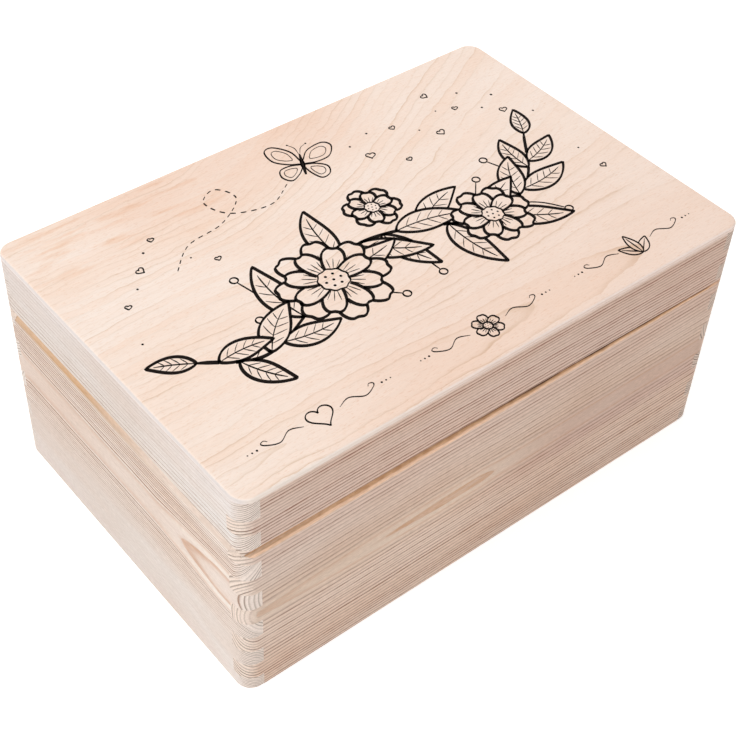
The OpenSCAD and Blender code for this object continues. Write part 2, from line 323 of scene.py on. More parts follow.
# The front's ground is warmer than the left's: painted warm shade on the front, which faces away
# from the key light. Low on the front the ground is lighter: painted bounce light from the table.
front_pine = pine(
    "pine_front", turn=0.0, shift=(0.0, HALF_DEEP, 0.0), pith=(-15.05, 55.5),
    rings=((0.0, 17.0, 1.2), (17.0, 30.0, 1.6), (30.0, 46.0, 2.3), (46.0, 200.0, 1.9)),
    phase=0.5, bold=((12, 0.85), (13, 0.55)),
    drift=((-150.0, -78.0, -1.2, 0.0), (-78.0, -40.0, 0.0, 0.30), (-12.0, 0.0, 0.0, -0.34)),
    contrast=((0.0, 1.0), (0.24, 1.0), (0.32, 0.60), (0.44, 0.60), (0.49, 0.50), (0.70, 0.75),
              (0.76, 1.0)),
    early=((0.0, "f3dece"), (0.32, "f2dccc"), (0.40, "ead6c5"), (0.70, "ebd5c8"),
           (0.80, "e9d1c3"), (1.0, "e9d1c2")),
    late="84492b", end_early="fbe9dc", end_late="836852",
    tone=((0.0, "ffffff"), (0.40, "fffdfb"), (0.70, "f7f3f0")),
    seed=3.1, end_axis=0, groove=LIP_SHADED_CUT, lip_shadow=(-80.0, 20.0), pale=NOWHERE, lip=FRONT_LIP,
    crest="f8e2d5", band=(50.0, 9.0, -20.0, 45.0, "f1ebed"), calm=(17.0, 27.0))
back_pine = pine(
    "pine_back", turn=180.0, shift=(0.0, HALF_DEEP, 0.0), pith=(24.0, 48.0),
    rings=((0.0, 26.0, 1.9), (26.0, 200.0, 1.6)), phase=0.4, bold=((13, 0.8), (14, 0.6)),
    drift=((-150.0, 60.0, 1.2, 0.0), (60.0, 150.0, 0.0, 0.9)),
    contrast=((0.0, 0.8), (1.0, 0.9)), early=((0.0, "eddaca"), (1.0, "ead6c7")),
    late="8a6243", end_early="f2e6de", end_late="a8978a",
    tone=((0.0, "ffffff"), (1.0, "fbf8f5")),
    seed=9.7, end_axis=0, groove=GOLDEN, lip_shadow=ALL_ALONG, pale=NOWHERE, crest="f1d9cb")
left_pine = pine(
    "pine_left", turn=90.0, shift=(0.0, HALF_LONG, 0.0), pith=(33.05, 66.8),
    rings=((0.0, 27.45, 2.1), (27.45, 30.46, 1.5), (30.46, 34.17, 1.85), (34.17, 36.2, 0.70),
           (36.2, 39.5, 0.88), (39.5, 200.0, 1.10)),
    phase=-0.08, bold=((16, 0.22), (15, 0.34)),
    drift=((-99.0, -85.0, -1.2, 0.0), (33.0, 52.0, 0.0, -0.78), (52.0, 80.0, 0.0, -1.30)),
    contrast=((0.0, 0.06), (0.22, 0.10), (0.30, 0.8), (0.40, 1.6), (0.55, 1.6), (0.67, 1.6),
              (0.70, 0.75), (0.73, 0.60), (0.77, 0.74), (0.85, 0.52), (0.92, 0.30)),
    early=((0.0, "f0e6e0"), (0.22, "f0e6df"), (0.34, "fcf1e8"), (0.43, "fcf1e8"), (0.46, "f3e4da"),
           (0.53, "f3e4da"), (0.57, "fbf0e7"), (0.66, "fbf0e7"), (0.78, "f6f0eb"), (1.0, "f4edea")),
    late="9e6c4c", end_early="fbece2", end_late="8a7361",
    tone=((0.17, "f5f3f2"), (0.50, "f5f3f1"), (0.80, "ffffff")),
    seed=5.3, end_axis=1, groove=HONEY, lip_shadow=NOWHERE, pale=(-30.0, 30.0),
    calm=(12.0, 34.0), halo=("f0e2d1", 0.0, 50.0), wild=0.65, pairs=0.7)
# The right board's end grain, seen at the front right corner, is darker and browner: partly
# unsanded end grain, partly painted shade of that corner.
right_pine = pine(
    "pine_right", turn=-90.0, shift=(0.0, HALF_LONG, 0.0), pith=(-11.0, 72.0),
    rings=((0.0, 24.0, 2.0), (24.0, 200.0, 1.5)), phase=0.6, bold=((6, 0.6), (7, 0.8)),
    drift=((-99.0, 20.0, 1.6, 0.0), (20.0, 99.0, 0.0, -0.8)),
    contrast=((0.0, 0.7), (1.0, 0.8)), early=((0.0, "eddfd4"), (1.0, "ecdcd0")),
    late="9a7150", end_early="dfc9ba", end_late="705a4c",
    tone=((0.0, "ffffff"), (1.0, "fbf8f5")),
    seed=12.9, end_axis=1, groove=GOLDEN, lip_shadow=ALL_ALONG, pale=NOWHERE)


def on_lip(height, face, reach=0.02):
    """A test for an edge's middle, in millimetres: does it lie within reach of that
    height on the outside of the boards (face True), or inside (face False)?"""
    def is_there(middle):
        outside = abs(middle.x) > CORE_X or abs(middle.y) > CORE_Y
        return abs(middle.z - height) < reach and outside == face
    return is_there


def cut_across(work):
    """Adds edges across a board where the groove's width changes pace, at those x
    and y in millimetres."""
    for normal, places in (((1.0, 0.0, 0.0), (-40.0, 30.0, 65.0, 99.0, 120.0, 135.0)),
                           ((0.0, 1.0, 0.0), (-70.0, -40.0, 0.0))):
        for place in places:
            bmesh.ops.bisect_plane(work, geom=[*work.verts, *work.edges, *work.faces],
                                   dist=SAME_POINT, plane_no=normal,
                                   plane_co=Vector(normal) * (place * MM))


def narrow_groove(mesh):
    """Draws the groove's lips and bottom together towards the front's right end,
    where the cutter ran shallow. With c the nearest point of the rectangle through
    the corners' centres, a point p at depth d = r - |p - c| behind the rounded outline
    goes to c + (p - c) (r - t d) / |p - c|. A lip, at depth 0, goes to t times its
    distance from the parting line. t follows FRONT_LIP on the front and goes back to
    1 on the right side."""
    flat = np.empty(len(mesh.vertices) * 3, np.float32)
    mesh.vertices.foreach_get("co", flat)
    point = flat.reshape(-1, 3).astype(float) / MM
    x, y, z = point.T
    centre = np.column_stack([np.clip(x, -CORE_X, CORE_X), np.clip(y, -CORE_Y, CORE_Y)])
    arm = point[:, :2] - centre
    depth = CORNER_R - np.hypot(arm[:, 0], arm[:, 1])
    places, shares = np.array(FRONT_LIP).T
    front = (y < -CORE_Y) | ((x > CORE_X) & (y < 0.1 - CORE_Y))
    t = np.where(front, np.interp(x, (2.0 * places - 1.0) * HALF_LONG, shares),
                 np.interp(y, (-CORE_Y, 0.0), (shares[-1], 1.0)))
    near = ((abs(z - PART_Z) < GROOVE_HALF + 0.05) & (depth < GROOVE_BEHIND)
            & (front | (x > CORE_X)))
    scale = (CORNER_R - t[near] * depth[near]) / (CORNER_R - depth[near])
    point[near, :2] = centre[near] + arm[near] * scale[:, None]
    point[near, 2] = PART_Z + (z[near] - PART_Z) * np.where(depth[near] < 0.1, t[near], 1.0)
    flat.reshape(-1, 3)[near] = point[near] * MM
    mesh.vertices.foreach_set("co", flat)
    mesh.update()


def eased(node, body, material, tests, width):
    """A merged copy of a wooden CAD node with the edges that hands and sandpaper
    reach eased by width millimetres. It stands for the node."""
    mesh = nodes[node].data.copy()
    work = bmesh.new()
    work.from_mesh(mesh)
    bmesh.ops.remove_doubles(work, verts=work.verts, dist=SAME_POINT)
    bmesh.ops.dissolve_limit(work, angle_limit=math.radians(0.3), verts=work.verts,
                             edges=work.edges, delimit={"NORMAL"})
    cut_across(work)
    work.to_mesh(mesh)
    narrow_groove(mesh)
    work.clear()
    work.from_mesh(mesh)
    sharp = [edge for edge in work.edges if edge.is_manifold
             and edge.calc_face_angle(0.0) > math.radians(25.0)
             and any(test((edge.verts[0].co + edge.verts[1].co) / (2.0 * MM)) for test in tests)]
    bmesh.ops.bevel(work, geom=sharp, offset=width * MM, segments=2, profile=0.5,
                    affect="EDGES", clamp_overlap=True)
    work.to_mesh(mesh)
    work.free()
    mesh.shade_smooth()
    mesh.set_sharp_from_angle(angle=math.radians(20.0))
    mesh.materials.clear()
    mesh.materials.append(material)
    piece = bpy.data.objects.new(node + "_sanded", mesh)
    bpy.context.scene.collection.objects.link(piece)
    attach(piece, body)
    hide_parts(node)
    return piece


# The groove's lips lie 0.8 to 3.0 mm from the parting line, as its width changes
LIP_MIDDLE, LIP_REACH = 1.9, 1.1
BOX_EASED = (on_lip(PART_Z - LIP_MIDDLE, True, LIP_REACH), on_lip(0.0, True),
             on_lip(BOX_RIM, False))
LID_EASED = (on_lip(PART_Z + LIP_MIDDLE, True, LIP_REACH), on_lip(LID_RIM, False))

for node, body, material, slot_name, tests in (
        ("front_board", "box", front_pine, "pine_long", BOX_EASED),
        ("back_board", "box", back_pine, "pine_long", BOX_EASED),
        ("left_board", "box", left_pine, "pine_short", BOX_EASED),
        ("right_board", "box", right_pine, "pine_short", BOX_EASED),
        ("lid_front_rail", "lid", front_pine, "pine_long", LID_EASED),
        ("lid_back_rail", "lid", back_pine, "pine_long", LID_EASED),
        ("lid_left_rail", "lid", left_pine, "pine_short", LID_EASED),
        ("lid_right_rail", "lid", right_pine, "pine_short", LID_EASED)):
    eased(node, body, material, tests, EASE)


# ------------------------------------------------------------- plywood top
# Three-ply birch, 3 mm, glued on the rails and sanded flush with them, its
# upper edge rounded by hand. The face veneer is pale with fine wavy figure.

# In millimetres: the upper edge's radius, the lower edge's bevel, how far in front
# of the middle the figure's axis lies, and the spacing of its lines
TOP_ROUND, TOP_LOWER = 1.3, 0.15
AXIS_Y, LINE_SPACING = 81.0, 4.0
# The plies' colours from the lower face to the upper. Besides the plies' own
# colours, the long edges' warmth is painted warm shade, as on the front, and the
# short edges' cool pale tones are a painted highlight of the key light.
PLIES_LONG = ((0.0, "ecd2c3"), (0.16, "f8e3d7"), (0.32, "f8e3d7"), (0.36, "efd6c8"),
              (0.62, "f0d8cb"), (0.68, "fae8de"))
PLIES_SHORT = ((0.0, "e2d6d0"), (0.16, "f4eae6"), (0.32, "f4eae6"), (0.36, "eadfda"),
               (0.62, "e9dfda"), (0.68, "e4dad6"))


def birch(name):
    """Rotary-cut birch veneer. The knife peels through the rings at a slant, so
    the figure is the level lines of a slow surface: even at the left, fanning out
    to the back right, closing in points along an axis near the front."""
    material, tree = blank_material(name)
    facing = add(tree, "SeparateXYZ", (add(tree, "TexCoord", out="Normal"),)).node
    point = object_mm(tree)

    # The lines lie at even steps of the distance from the axis, bent by slow noise
    # and drawn apart to the right by the fan
    wander = stretched(tree, point, (0.009, 0.018, 0.018), out="Color")
    bent = add(tree, "VectorMath", (wander, (0.0, 14.0, 0.0), (0.0, -7.0, 0.0)),
               operation="MULTIPLY_ADD")
    ripple = stretched(tree, point, (0.06, 0.10, 0.10), out="Color")
    bent = add(tree, "VectorMath", (ripple, (0.0, 5.2, 0.0), bent), operation="MULTIPLY_ADD")
    bent = add(tree, "VectorMath", (point, bent), operation="ADD")
    at = add(tree, "SeparateXYZ", (bent,)).node
    x, y = at.outputs[0], at.outputs[1]
    fan = add(tree, "MapRange", (x, -60.0, 160.0))
    fan = add(tree, "Math", (fan, 1.5), operation="POWER")
    fan = add(tree, "Math", (fan, 1.05, 1.0), operation="MULTIPLY_ADD")
    off = add(tree, "Math", (y, AXIS_Y), operation="ADD")
    off = add(tree, "Math", (off, fan), operation="DIVIDE")
    rise = add(tree, "MapRange", (x, -150.0, 150.0, 2.0, 19.0))
    far = add(tree, "CombineXYZ", (rise, off))
    far = add(tree, "VectorMath", (far,), out="Value", operation="LENGTH")
    count = add(tree, "Math", (far, LINE_SPACING), operation="DIVIDE")
    part = add(tree, "Math", (count,), operation="FRACT")
    number = add(tree, "Math", (count,), operation="FLOOR")
    chance = add(tree, "TexWhiteNoise", {"W": number}, out="Value", noise_dimensions="1D")
    dark = add(tree, "ValToRGB", (part,), stops=((0.0, 0.35), (0.05, 0.0), (0.62, 0.0),
                                                 (0.85, 0.3), (0.95, 1.0)))
    fade = stretched(tree, point, (0.02, 0.035, 0.035))
    fade = add(tree, "MapRange", (fade, 0.35, 0.62, 0.15, 1.0))
    dark = product(tree, dark, fade, add(tree, "MapRange", (chance, 0.0, 1.0, 0.1, 1.0)))

    # Tints: each layer's own, broad patches, a painted shade towards the front
    # right, the back's warmth, some honey-coloured clouds at the back left, and flecks
    other = add(tree, "Math", (number, 40.0), operation="ADD")
    sheet = add(tree, "TexWhiteNoise", {"W": other}, out="Value", noise_dimensions="1D")
    patch = add(tree, "MapRange", (stretched(tree, point, (0.012, 0.03, 0.03), 3.0), 0.35, 0.70))
    # Painted shade: the veneer darkens towards the front right, away from the light
    front_right_shade = product(tree, add(tree, "MapRange", (x, -130.0, -30.0), **SOFTLY),
                   add(tree, "MapRange", (y, 30.0, -90.0, 0.25, 1.0), **SOFTLY))
    back = product(tree, add(tree, "MapRange", (y, 50.0, 88.0), **SOFTLY),
                   add(tree, "MapRange", (x, -130.0, -75.0), **SOFTLY),
                   add(tree, "MapRange", (x, 20.0, 80.0, 1.0, 0.0), **SOFTLY))
    gold = add(tree, "MapRange", (stretched(tree, point, (0.035, 0.20, 0.20), 3.0), 0.50, 0.68))
    gold = product(tree, gold, add(tree, "MapRange", (x, -10.0, -70.0), **SOFTLY),
                   add(tree, "MapRange", (y, 45.0, 75.0), **SOFTLY))
    fibre = stretched(tree, point, (0.12, 1.2, 1.2), 3.0)
    fleck = add(tree, "MapRange", (stretched(tree, point, (0.45, 2.6, 2.6), 1.0), 0.58, 0.78))
    face = add(tree, "Mix", {0: dark, 6: colour("f9e8dc"), 7: colour("e3cab3")}, **OVER)
    for mask, tint in ((sheet, "fef9f5"), (patch, "fdf8f4"), (front_right_shade, "fbf5f2"),
                       (back, "fbf3ee"), (gold, "f8e8da"), (fleck, "f5e9de")):
        face = add(tree, "Mix", {0: mask, 6: face, 7: colour(tint)}, **TINT)
    shade = add(tree, "MapRange", (fibre, 0.25, 0.75, 0.965, 1.02))
    face = add(tree, "VectorMath", {0: face, "Scale": shade}, operation="SCALE")

    # On the edge the three plies show. The middle one is end grain at the front
    # and back, the outer ones are at the left and right.
    height = add(tree, "SeparateXYZ", (point,), out=2)
    ply = add(tree, "MapRange", (height, FRAME_TOP, BOX_H))
    long_edge = add(tree, "ValToRGB", (ply,), stops=hexes(PLIES_LONG))
    # A painted highlight lightens the long edges towards the left, where the key light catches the
    # rounding
    glare = add(tree, "MapRange", (x, -20.0, -110.0, 0.0, 0.75))
    long_edge = add(tree, "Mix", {0: glare, 6: long_edge, 7: colour("fff3e8")}, **OVER)
    short_edge = add(tree, "ValToRGB", (ply,), stops=hexes(PLIES_SHORT))
    endways = add(tree, "Math", (facing.outputs[0],), operation="ABSOLUTE")
    endways = add(tree, "MapRange", (endways, 0.30, 0.80))
    edge = add(tree, "Mix", {0: endways, 6: long_edge, 7: short_edge}, **OVER)
    shade = add(tree, "MapRange", (fibre, 0.25, 0.75, 0.94, 1.03))
    edge = add(tree, "VectorMath", {0: edge, "Scale": shade}, operation="SCALE")
    flat = add(tree, "Math", (facing.outputs[2],), operation="ABSOLUTE")
    flat = add(tree, "MapRange", (flat, 0.55, 0.95))
    wood = add(tree, "Mix", {0: flat, 6: edge, 7: face}, **OVER)
    bump = add(tree, "Bump", {"Strength": 0.25, "Distance": 0.0001, "Height": fibre})
    shader = add(tree, "BsdfPrincipled", {"Base Color": wood, "Roughness": 0.55,
                                          "Specular IOR Level": 0.30, "Normal": bump})
    add(tree, "OutputMaterial", (shader,))
    return material


def rounded_slab(half, corner, profile, per_corner=24):
    """A closed slab with rounded corners, as vertices in metres and faces. The
    outline p(t) + n(t) (corner - inset) is repeated at each (inset, z) of the
    profile, from the lowest up: p is a corner's centre, n the unit normal."""
    angles = np.concatenate([np.linspace(q, q + 90.0, per_corner) for q in (0, 90, 180, 270)])
    normal = np.stack([np.cos(np.radians(angles)), np.sin(np.radians(angles))], axis=1)
    signs = np.repeat([(1, 1), (-1, 1), (-1, -1), (1, -1)], per_corner, axis=0)
    centre = signs * (np.array(half) - corner)
    rings = [np.column_stack([centre + normal * (corner - inset), np.full(len(angles), z)])
             for inset, z in profile]
    n, count = len(angles), len(profile)
    index = np.arange(n * count).reshape(count, n)
    after = np.roll(index, -1, axis=1)
    sides = np.stack([index[:-1], after[:-1], after[1:], index[1:]], axis=-1).reshape(-1, 4)
    faces = [tuple(face) for face in sides.tolist()]
    faces += [tuple(index[0][::-1].tolist()), tuple(index[-1].tolist())]
    return np.concatenate(rings) * MM, faces


def new_piece(name, vertices, faces, material, smooth_below=30.0):
    """An object at the origin from vertices in metres and faces."""
    mesh = bpy.data.meshes.new(name)
    mesh.from_pydata(vertices, [], faces)
    mesh.shade_smooth()
    mesh.set_sharp_from_angle(angle=math.radians(smooth_below))
    mesh.materials.append(material)
    piece = bpy.data.objects.new(name, mesh)
    bpy.context.scene.collection.objects.link(piece)
    return piece


birch_face = birch("birch_veneer")
bend = np.radians(np.linspace(0.0, 90.0, 13))
top_profile = [(TOP_LOWER, FRAME_TOP), (0.0, FRAME_TOP + TOP_LOWER)]
top_profile += [(TOP_ROUND * (1 - math.cos(a)), BOX_H - TOP_ROUND * (1 - math.sin(a)))
                for a in bend]
top_shape = rounded_slab((HALF_LONG, HALF_DEEP), CORNER_R, top_profile)
top_sheet = new_piece("lid_top_sanded", *top_shape, birch_face)
for cap in top_sheet.data.polygons[-2:]:
    cap.use_smooth = False
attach(top_sheet, "lid")
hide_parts("lid_top_panel")

nodes["bottom_panel"].data.materials.clear()
nodes["bottom_panel"].data.materials.append(birch_face)


# ------------------------------------------------------------- line design
# A garland of leaves and flowers, a butterfly with its trail, hearts and dots,
# printed in black ink by a flatbed printer: a film some hundredths thick. Pen
# lines are complex numbers x + iy in millimetres; shapes drawn first hide
# what runs behind them.

# In millimetres: the ink's upper and lower face, the distance of points on a line
# and the pen's widths. The nib's angle is in radians.
INK_TOP, INK_FOOT = BOX_H + 0.03, BOX_H - 0.03
PEN_STEP, NIB_ANGLE = 0.45, 0.6
STEM_PEN, PETAL_PEN, LEAF_PEN, RIM_PEN = 2.0, 1.65, 1.6, 0.85
STALK_PEN, HEART_PEN, VEIN_PEN, WING_PEN = 0.75, 0.72, 0.52, 0.45
SCROLL_LENGTH = 21.0
ICON_X, ICON_Y = 94.0, -80.0

pen_runs = []
drawn_shapes = []


def inside(points, outline):
    """Which points lie in a closed outline, by counting crossings."""
    a, b = outline, np.roll(outline, -1)
    x, y = points.real[:, None], points.imag[:, None]
    crosses = (a.imag > y) != (b.imag > y)
    rise = np.where(b.imag == a.imag, 1e-9, b.imag - a.imag)
    return (crosses & (x < a.real + (y - a.imag) * (b.real - a.real) / rise)).sum(axis=1) % 2 == 1


def resampled(points, step=PEN_STEP):
    """The same line with evenly spaced points."""
    reach = np.concatenate([[0.0], np.cumsum(np.abs(np.diff(points)))])
    even = np.linspace(0.0, reach[-1], max(4, int(reach[-1] / step)))
    return np.interp(even, reach, points.real) + 1j * np.interp(even, reach, points.imag)


def through(*points, each=12):
    """A Catmull-Rom curve through complex points."""
    p = np.array([2 * points[0] - points[1], *points, 2 * points[-1] - points[-2]])
    t = np.linspace(0.0, 1.0, each, endpoint=False)[None, :]
    a, b, c, d = (p[i:len(p) - 3 + i, None] for i in range(4))
    curve = 0.5 * (2 * b + (c - a) * t + (2 * a - 5 * b + 4 * c - d) * t ** 2
                   + (3 * b - a - 3 * c + d) * t ** 3)
    return np.append(curve.ravel(), points[-1])


def pen(points, width, ends=0.35, taper=5.0):
    """Draws a line that thins to ends x width over taper mm at both ends and, as a
    flat nib's does, with its direction. A shape drawn earlier cuts it."""
    points = resampled(points)
    reach = np.concatenate([[0.0], np.cumsum(np.abs(np.diff(points)))])
    near = np.minimum(reach, reach[-1] - reach)
    taper = min(taper, reach[-1] / 2)
    widths = width * (ends + (1 - ends) * np.clip(near / taper, 0.0, 1.0) ** 0.7)
    widths *= 0.64 + 0.68 * np.abs(np.sin(np.angle(np.gradient(points)) - NIB_ANGLE))
    shown = np.ones(len(points), bool)
    for outline in drawn_shapes:
        shown &= ~inside(points, outline)
    breaks = np.flatnonzero(np.diff(shown.astype(int))) + 1
    for run in np.split(np.arange(len(points)), breaks):
        if len(run) > 2 and shown[run[0]]:
            pen_runs.append((points[run], widths[run]))


def shape(outline, width):
    """Draws a closed outline, which then hides later lines."""
    closed = np.append(outline, outline[:2])
    pen(closed, width, ends=1.0)
    drawn_shapes.append(outline)


def dot(at, radius):
    """A filled spot."""
    across = np.linspace(-0.98, 0.98, 11)
    pen_runs.append((at + across * radius, 2 * radius * np.sqrt(1 - across ** 2)))


def placed(points, at, angle, bend=0.0):
    """Points along +x from 0, bent by bend radians per mm, turned and moved."""
    if bend:
        spine = (np.exp(1j * bend * points.real) - 1) / (1j * bend)
        points = spine + 1j * points.imag * np.exp(1j * bend * points.real)
    return at + points * np.exp(1j * angle)


def leaf(at, angle, length, width, bend=0.0, veins=4, edge=LEAF_PEN):
    """A pointed leaf with a midrib and side veins."""
    t = np.linspace(0.0, 1.0, 40)
    half = 0.5 * width * np.sin(np.pi * t ** 0.8) ** 0.9
    outline = np.concatenate([length * t + 1j * half, (length * t - 1j * half)[-2:0:-1]])
    inner = [(length * t[:34] + 0j, min(0.7, edge))]
    for k in range(veins):
        start = 0.16 + 0.62 * k / veins
        reach = 0.78 * width * 0.5 * math.sin(math.pi * (start + 0.10) ** 0.8)
        for side in (1, -1):
            s = np.linspace(0.0, 1.0, 8)
            vein = length * start + s * reach * 0.95 + 1j * side * s ** 0.85 * reach
            inner.append((vein, VEIN_PEN))
    ink = placed(outline, at, angle, bend)
    for line, pen_width in inner:
        pen(placed(line, at, angle, bend), pen_width, ends=0.4, taper=4.0)
    shape(ink, edge)


def flower(at, radius, petals, turn, eye=0.26, width=PETAL_PEN,
           rows=((0.80, 0.0), (1.0, 0.5))):
    """An open flower from above: a dotted middle, eye times the radius wide, and
    rows of round petals, each row a share of the radius and a turn in petals."""
    ring = np.exp(1j * np.linspace(0.0, 2 * np.pi, 60, endpoint=False))
    middle = radius * eye
    for k in range(7):
        angle = 2 * np.pi * k / 6
        dot(at + (middle * 0.55 * np.exp(1j * angle) if k < 6 else 0.0), middle * 0.10)
    shape(at + middle * ring * (1 + 0.04 * np.cos(9 * np.angle(ring))), 0.9)
    phi = np.linspace(0.0, 2 * np.pi, 50, endpoint=False)
    for scale, shift in rows:
        for k in range(petals):
            angle = turn + 2 * np.pi * (k + shift) / petals
            length = radius * scale
            breadth = length * 2.5 / petals
            x = 0.5 * length * (1 - np.cos(phi))
            y = breadth * np.sin(phi) * (0.45 + 0.55 * np.sin(phi / 2) ** 2)
            notch = 0.05 * length * np.exp(-((phi - np.pi) / 0.25) ** 2)
            for lean in (-0.32, 0.0, 0.32):
                s = np.linspace(0.0, 1.0, 10)
                line = length * (0.34 + (0.30 - 0.1 * abs(lean)) * s) + 1j * lean * breadth * (
                    0.6 + 0.8 * s)
                pen(placed(line, at, angle), VEIN_PEN, ends=0.4, taper=4.0)
            shape(placed(x - notch + 1j * y, at, angle), width)


def heart(at, size, angle=0.0):
    """A small heart outline."""
    t = np.linspace(0.0, 2 * np.pi, 44, endpoint=False)
    x = 16 * np.sin(t) ** 3
    y = 13 * np.cos(t) - 5 * np.cos(2 * t) - 2 * np.cos(3 * t) - np.cos(4 * t)
    shape(at + (x + 1j * y) * np.exp(1j * angle) * size / 32, HEART_PEN)


def butterfly(at, size, angle):
    """A butterfly with its wings open, seen from above."""
    body = size * np.linspace(-0.28, 0.26, 12) * 1j
    pen_runs.append((at + body * np.exp(1j * angle),
                     size * 0.06 * np.sin(np.linspace(0.35, 2.9, 12)) ** 0.6))
    for side in (1, -1):
        upper = through(0.02 + 0.08j, 0.14 + 0.34j, 0.40 + 0.50j, 0.54 + 0.40j, 0.46 + 0.14j,
                        0.24 + 0.02j, 0.03 + 0.0j)
        lower = through(0.03 - 0.02j, 0.22 - 0.03j, 0.38 - 0.12j, 0.38 - 0.30j, 0.24 - 0.40j,
                        0.10 - 0.26j, 0.02 - 0.10j)
        for wing, middle in ((upper, 0.30 + 0.26j), (lower, 0.23 - 0.20j)):
            outline = size * (wing.real * side + 1j * wing.imag)
            centre = size * (middle.real * side + 1j * middle.imag)
            small = centre + 0.58 * (outline - centre)
            pen(at + np.append(small, small[:2]) * np.exp(1j * angle), WING_PEN, ends=1.0)
            shape(at + outline * np.exp(1j * angle), RIM_PEN)
        feeler = through(0.01 + 0.26j, 0.05 + 0.42j, 0.15 + 0.52j)
        pen(at + size * (feeler.real * side + 1j * feeler.imag) * np.exp(1j * angle), 0.5)
        dot(at + size * (0.15 * side + 0.52j) * np.exp(1j * angle), 0.55)


def scroll(at, side):
    """A flat flourish running left or right from a point, with three dots."""
    curve = through(0.0 + 0.0j, 0.3 + 0.10j, 0.62 - 0.06j, 0.90 + 0.04j, 0.97 + 0.13j,
                    0.88 + 0.17j, 0.82 + 0.11j) * SCROLL_LENGTH
    pen(at + curve.real * side + 1j * curve.imag, 0.6, ends=0.4)
    for k in range(3):
        dot(at + side * (SCROLL_LENGTH + 2.6 + 2.4 * k) + 0.8j, 0.55 - 0.1 * k)


# Two flowers on the stem, the large one left of the middle, and one above it.
# LEAVES holds the place along the stem, the lean from it, the length and the width
flower(-36.0 - 14.0j, 29.0, 8, 0.15)
flower(56.0 - 22.0j, 21.0, 7, 0.4)
flower(12.0 + 17.0j, 15.0, 6, 0.1)

stem = through(-118.0 - 22.0j, -92.0 - 36.0j, -62.0 - 26.0j, -20.0 - 2.0j, 16.0 - 6.0j,
               54.0 - 24.0j, 88.0 - 12.0j, 114.0 + 18.0j, each=24)
directions = np.angle(np.gradient(stem))
LEAVES = ((0.05, 0.80, 28, 12), (0.09, -0.75, 27, 12), (0.17, 0.85, 34, 14),
          (0.21, -0.70, 30, 13), (0.29, 1.35, 42, 15), (0.37, -0.75, 44, 15),
          (0.42, 1.30, 38, 14), (0.46, -0.95, 37, 14), (0.52, -1.30, 34, 13),
          (0.55, 0.30, 38, 15), (0.60, 1.10, 36, 14), (0.64, -1.15, 38, 14),
          (0.71, 0.95, 36, 14), (0.74, -0.95, 36, 14), (0.81, 0.80, 31, 13),
          (0.83, -0.65, 32, 13), (0.90, 0.85, 26, 11), (0.92, -0.75, 26, 11))
for place, lean, length, width in LEAVES:
    k = int(place * (len(stem) - 1))
    leaf(stem[k], directions[k] + lean, length, width, bend=-0.5 * np.sign(lean) / length)
leaf(stem[0], directions[0] + np.pi - 0.1, 22.0, 10.0, 0.012)
leaf(stem[-1], directions[-1] + 0.1, 21.0, 9.5, 0.012)
for place, side, length in ((0.13, 1, 25), (0.24, 1, 44), (0.66, 1, 36), (0.78, -1, 27),
                            (0.85, 1, 27), (0.33, -1, 42), (0.50, -1, 40)):
    k = int(place * (len(stem) - 1))
    direction = np.exp(1j * (directions[k] + side * 1.15))
    tip = stem[k] + length * direction
    shape(tip + 2.0 * np.exp(1j * np.linspace(0.0, 2 * np.pi, 24, endpoint=False)), RIM_PEN)
    middle = stem[k] + length * 0.5 * direction * np.exp(-0.16j * side)
    pen(through(stem[k], middle, tip), STALK_PEN)
pen(stem, STEM_PEN, ends=0.5)

butterfly(6.0 + 65.0j, 32.0, -0.45)
trail = through(-9.0 + 57.0j, -26.0 + 48.0j, -46.0 + 54.0j, -52.0 + 68.0j, -42.0 + 74.0j,
                -37.0 + 62.0j, -54.0 + 50.0j, -76.0 + 46.0j, -92.0 + 32.0j)
trail = resampled(trail, 0.4)
for start in range(4, len(trail) - 8, 13):
    pen(trail[start:start + 8], STALK_PEN, ends=0.8)

rng = np.random.default_rng(11)
for at, size in ((38.0 + 50.0j, 5.0), (62.0 + 62.0j, 3.4), (80.0 + 44.0j, 4.6),
                 (100.0 + 56.0j, 3.2), (120.0 + 40.0j, 4.2), (-104.0 + 44.0j, 4.4),
                 (-122.0 + 26.0j, 3.2), (-88.0 + 60.0j, 3.2), (94.0 + 74.0j, 4.0),
                 (128.0 - 26.0j, 3.6), (-70.0 + 30.0j, 3.2), (52.0 + 36.0j, 3.2)):
    heart(at, size, rng.uniform(-0.5, 0.5))
for at in (48.0 + 66.0j, 72.0 + 52.0j, 90.0 + 60.0j, 110.0 + 66.0j, 112.0 + 48.0j,
           -112.0 + 34.0j, -96.0 + 54.0j, 34.0 + 62.0j, 124.0 + 54.0j, -80.0 + 38.0j,
           132.0 + 30.0j, -130.0 + 2.0j, 128.0 - 8.0j):
    dot(at, rng.uniform(0.45, 0.75))

# Along the front a heart, a flower and three leaves, each between two scrolls
heart(-ICON_X + 1j * (ICON_Y + 0.5), 13.0)
flower(1j * ICON_Y, 7.6, 6, 0.31, eye=0.3, width=RIM_PEN, rows=((1.0, 0.0),))
for lean, length in ((0.0, 14.0), (0.85, 12.0), (-0.85, 12.0)):
    leaf(ICON_X + 1j * (ICON_Y - 6.0), math.pi / 2 + lean, length, 5.4, veins=0, edge=0.8)
for middle, gap in ((-ICON_X, 9.5), (0.0, 10.5), (ICON_X, 10.5)):
    for side in (1, -1):
        scroll(middle + side * gap + 1j * ICON_Y, side)


